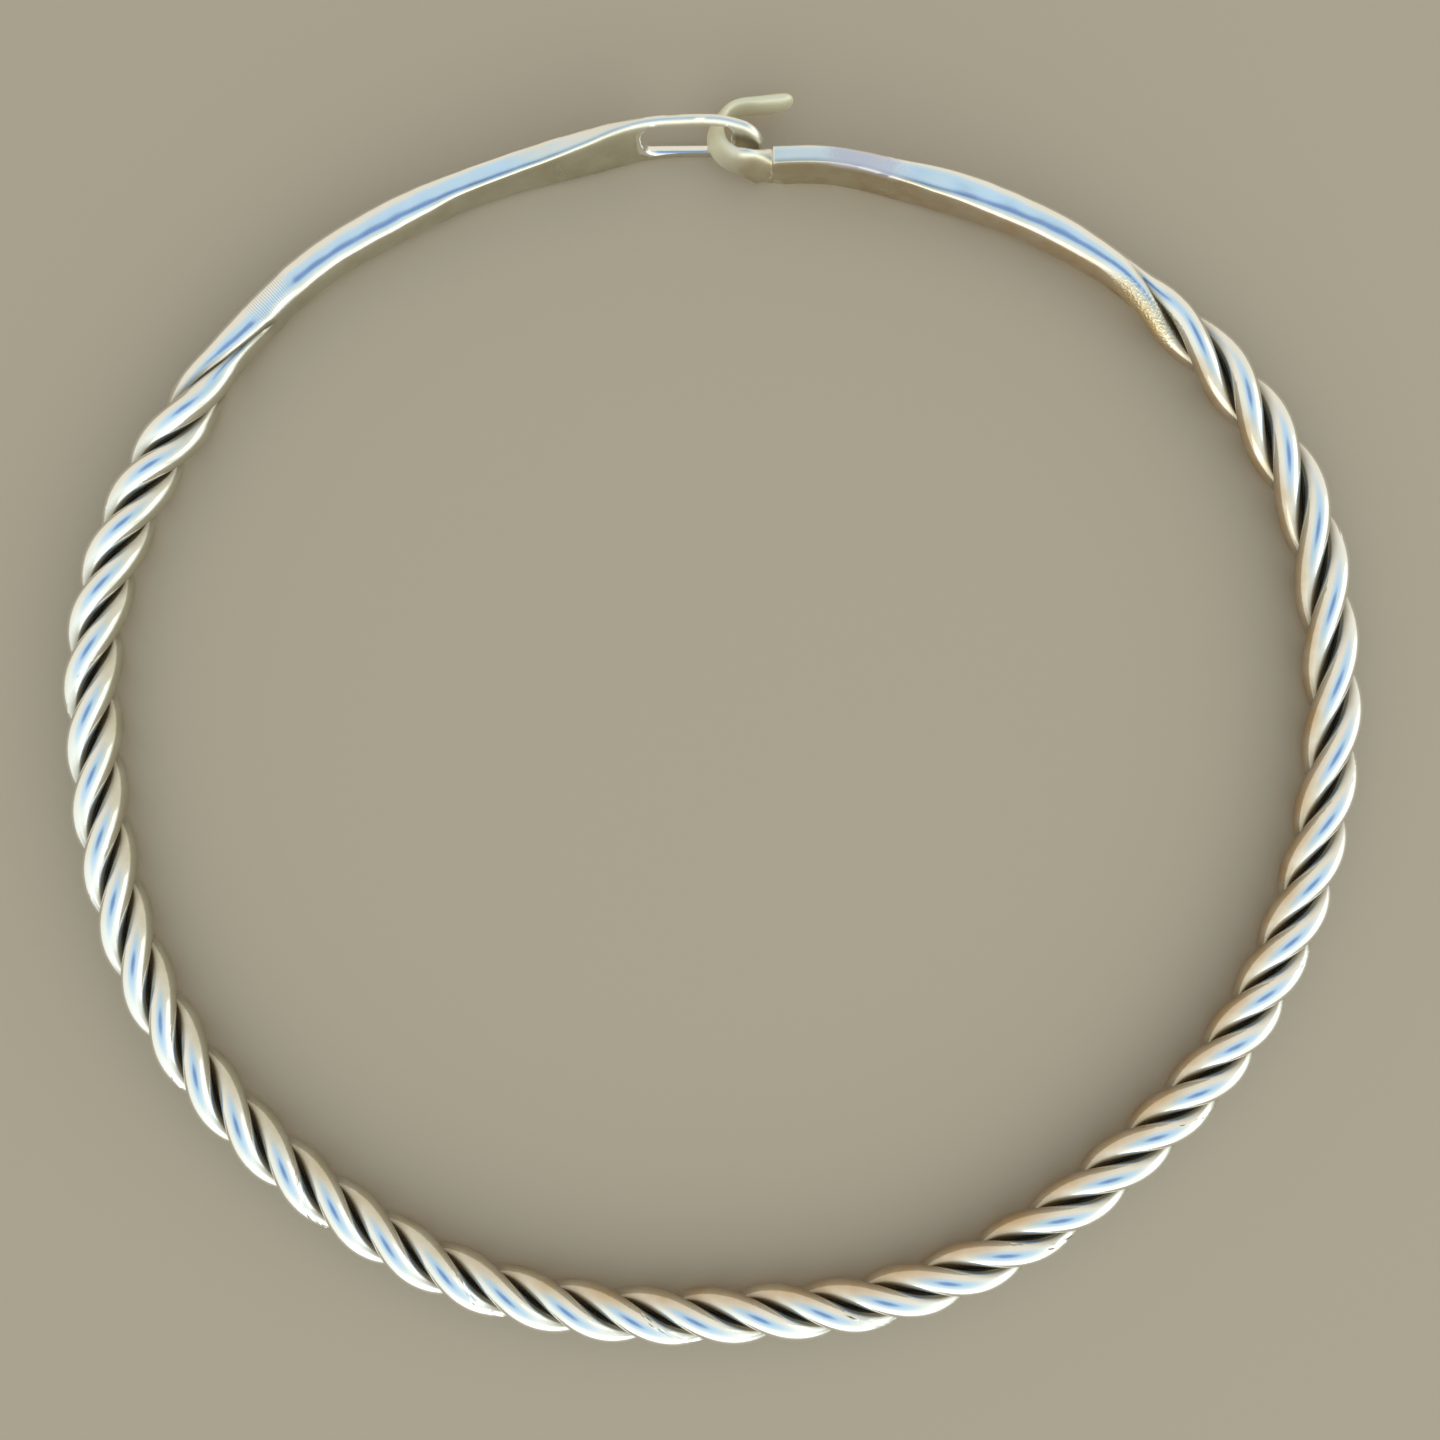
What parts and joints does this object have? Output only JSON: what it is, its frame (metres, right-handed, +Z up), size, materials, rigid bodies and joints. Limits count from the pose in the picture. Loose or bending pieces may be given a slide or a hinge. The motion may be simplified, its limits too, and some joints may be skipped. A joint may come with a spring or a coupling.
{
  "type": "silver torc",
  "caption": "Open silver neck ring of round rods twisted like rope, with hammered ends that close with a hook through a slotted eye.",
  "frame": {"origin": "under the middle of the ring, on the surface that it lies on", "axes": "+X across the ring at its widest, +Y towards the hook and eye, +Z up from the surface that it lies on"},
  "size_m": [0.1494, 0.144, 0.007],
  "materials": {
    "silver": "old silver worn bright on the rods, paler and duller on the hammered ends, with black tarnish in the grooves"
  },
  "bodies": {
    "root": {"torc": "silver"}
  },
  "joints": []
}
